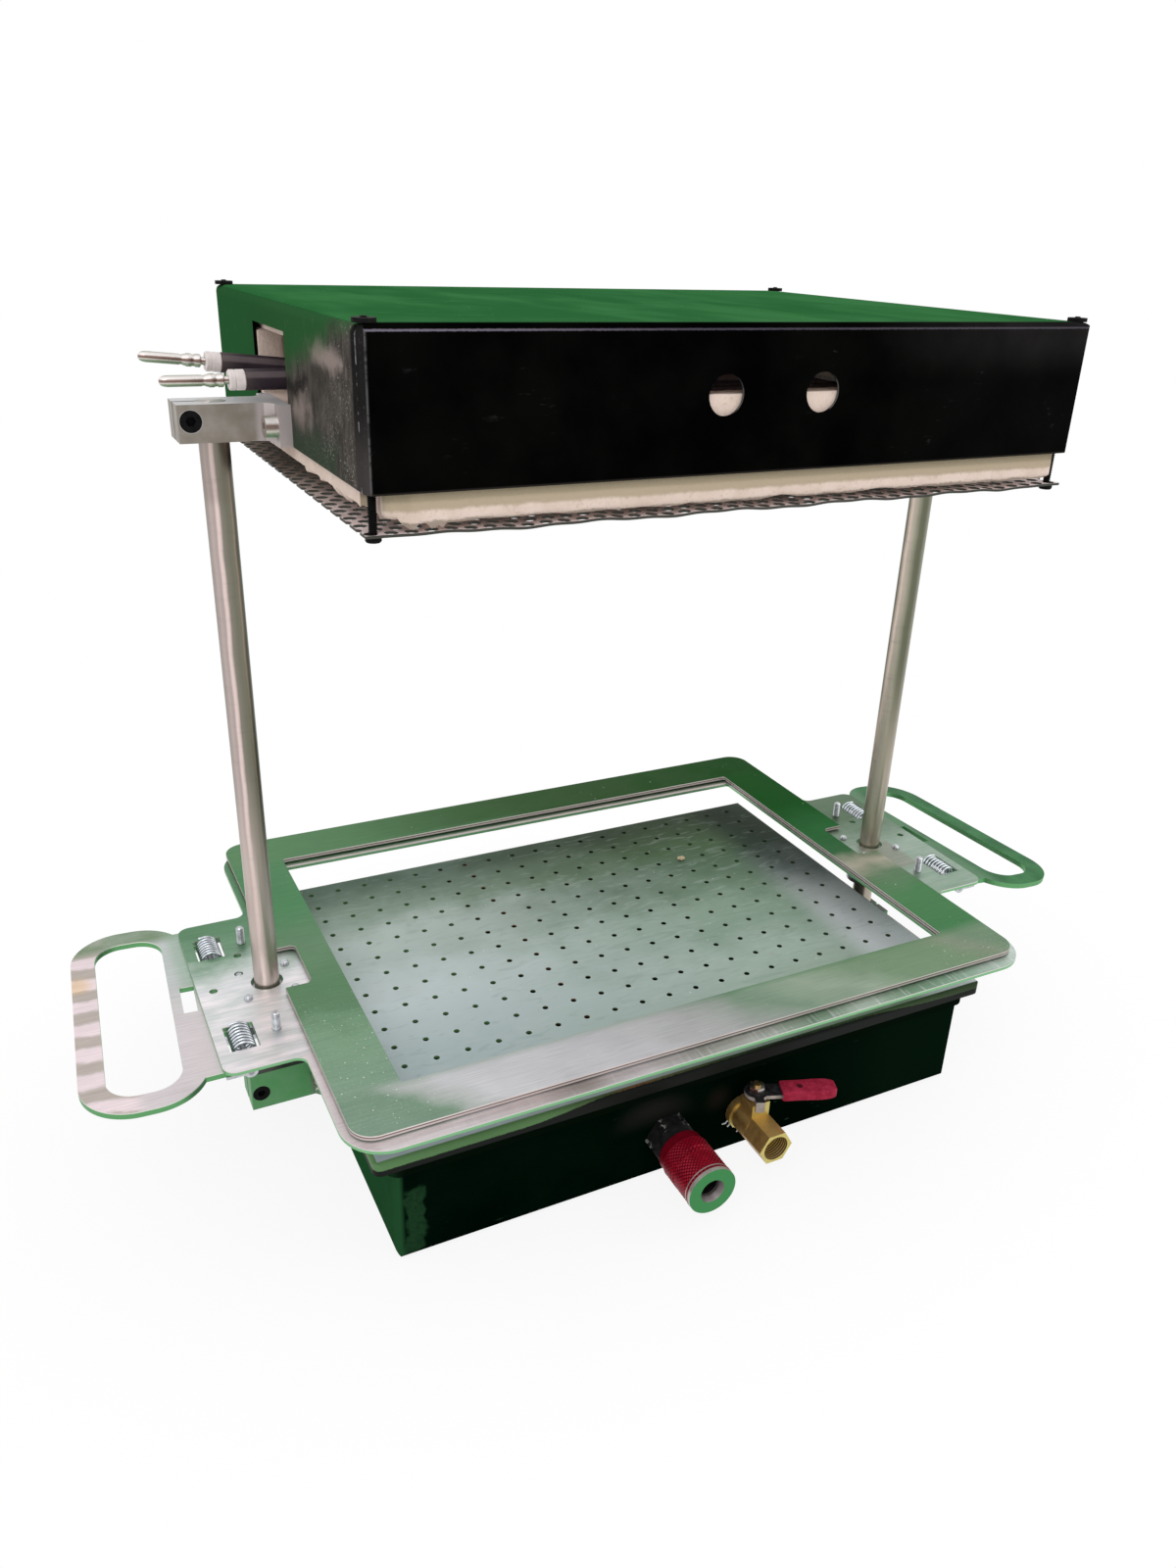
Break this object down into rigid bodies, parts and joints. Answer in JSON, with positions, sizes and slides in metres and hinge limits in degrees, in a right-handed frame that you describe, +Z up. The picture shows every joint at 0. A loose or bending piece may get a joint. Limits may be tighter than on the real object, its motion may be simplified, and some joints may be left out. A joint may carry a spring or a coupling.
{
  "type": "vacuum forming machine",
  "caption": "Tabletop vacuum former: pressed tray with a perforated platen, two upright rods, an electric heater hood, and a clamp frame that slides between them on sprung handles.",
  "frame": {"origin": "centre of the tray's underside, where the machine stands on the bench", "axes": "+X to the machine's right, from rod to rod; +Y to its back, away from the hose fittings; +Z up along the rods"},
  "size_m": [0.5502, 0.3, 0.3966],
  "materials": {
    "tray_black": "gloss",
    "hood_black": "gloss",
    "platen_metal": "satin",
    "arm_metal": "satin",
    "blasted_metal": "matte",
    "rod_steel": "polished",
    "zinc": "satin",
    "black_oxide": "satin",
    "fibre_board": "matte",
    "white_ceramic": "gloss",
    "heater_sheath": "satin",
    "terminal_metal": "satin",
    "mesh_metal": "satin",
    "frame_metal": "brushed",
    "handle_metal": "brushed",
    "seal_rubber": "matte",
    "coupler_metal": "satin",
    "red_sleeve": "gloss",
    "valve_brass": "satin",
    "ball_chrome": "polished",
    "seat_white": "matte",
    "red_vinyl": "gloss"
  },
  "bodies": {
    "base": {"vacuum_tray": "tray_black", "platen": "platen_metal", "platen_seal": "seal_rubber", "platen_posts": "arm_metal", "base_arm_left": "arm_metal", "base_arm_right": "arm_metal", "base_clamp_screws": "black_oxide", "base_arm_bolts": "zinc", "rod_left": "rod_steel", "rod_right": "rod_steel", "hood_arm_left": "blasted_metal", "hood_arm_right": "blasted_metal", "hood_clamp_screws": "black_oxide", "hood_arm_bolts": "zinc", "hood_shell": "hood_black", "insulation_walls": "fibre_board", "insulation_lid": "fibre_board", "heating_element": "heater_sheath", "ceramic_beads": "white_ceramic", "bullet_terminals": "terminal_metal", "element_rails": "zinc", "element_clips": "zinc", "mesh_guard": "mesh_metal", "guard_bolts": "black_oxide", "guard_nuts": "black_oxide", "coupler_body": "coupler_metal", "coupler_spring": "zinc", "valve_body": "valve_brass", "valve_seats": "seat_white", "bulkhead_nuts": "valve_brass"},
    "carriage": {"lower_frame": "frame_metal", "clamp_gasket": "seal_rubber", "rod_bush_left": "zinc", "rod_bush_right": "zinc", "bush_screws": "zinc", "fixed_leaves": "zinc", "hinge_pins": "zinc", "hinge_studs": "zinc", "hinge_springs": "zinc"},
    "ring": {"upper_ring": "frame_metal"},
    "lever_left": {"handle_left": "handle_metal", "leaves_left": "zinc", "leaf_rivets_left": "zinc", "brake_yoke_left": "handle_metal", "yoke_screws_left": "black_oxide"},
    "lever_right": {"handle_right": "handle_metal", "leaves_right": "zinc", "leaf_rivets_right": "zinc", "brake_yoke_right": "handle_metal", "yoke_screws_right": "black_oxide"},
    "sleeve": {"coupler_sleeve": "red_sleeve"},
    "valve_handle": {"valve_lever": "black_oxide", "lever_grip": "red_vinyl", "valve_nut": "zinc", "valve_stem": "valve_brass", "valve_ball": "ball_chrome"}
  },
  "joints": [
    {"name": "carriage_slide", "type": "slide", "parent": "base", "child": "carriage", "axis": [0, 0, 1], "range_m": [-0.02, 0.205]},
    {"name": "ring_lift", "type": "slide", "parent": "carriage", "child": "ring", "axis": [0, 0, 1], "range_m": [0, 0.025]},
    {"name": "lever_left_hinge", "type": "hinge", "parent": "carriage", "child": "lever_left", "pos_m": [-0.205, 0, 0.0802], "axis": [0, -1, 0], "range_deg": [0, 5], "stiffness_Nm_per_rad": 0.35, "springref_deg": -10.03},
    {"name": "lever_right_hinge", "type": "hinge", "parent": "carriage", "child": "lever_right", "pos_m": [0.205, 0, 0.0802], "axis": [0, 1, 0], "range_deg": [0, 5], "stiffness_Nm_per_rad": 0.35, "springref_deg": -10.03},
    {"name": "sleeve_slide", "type": "slide", "parent": "base", "child": "sleeve", "axis": [0, 1, 0], "range_m": [0, 0.004], "stiffness_N_per_m": 400, "springref_m": -0.004},
    {"name": "valve_turn", "type": "hinge", "parent": "base", "child": "valve_handle", "pos_m": [0.0205, -0.128, 0.0255], "axis": [0, 0, 1], "range_deg": [-70, 20]}
  ]
}
